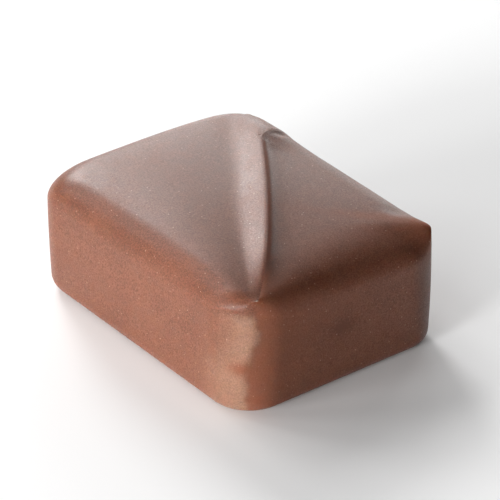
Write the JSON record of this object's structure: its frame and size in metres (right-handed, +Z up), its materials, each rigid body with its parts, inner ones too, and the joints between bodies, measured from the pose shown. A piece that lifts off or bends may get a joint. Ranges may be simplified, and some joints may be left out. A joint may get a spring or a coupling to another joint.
{
  "type": "chocolate praline",
  "caption": "Rectangular milk chocolate praline with rounded corners, a flat underside and a raised fold running diagonally across its top.",
  "frame": {"origin": "middle of the flat underside, under the middle of the bounding box", "axes": "+X along the long side, +Y along the short side, +Z up; the fold starts at the corner at +X -Y and ends at the corner at -X +Y"},
  "size_m": [0.032, 0.0242, 0.0136],
  "materials": {
    "milk_chocolate": "satin milk chocolate, smooth with fine specks"
  },
  "bodies": {
    "root": {"praline": "milk_chocolate"}
  },
  "joints": []
}
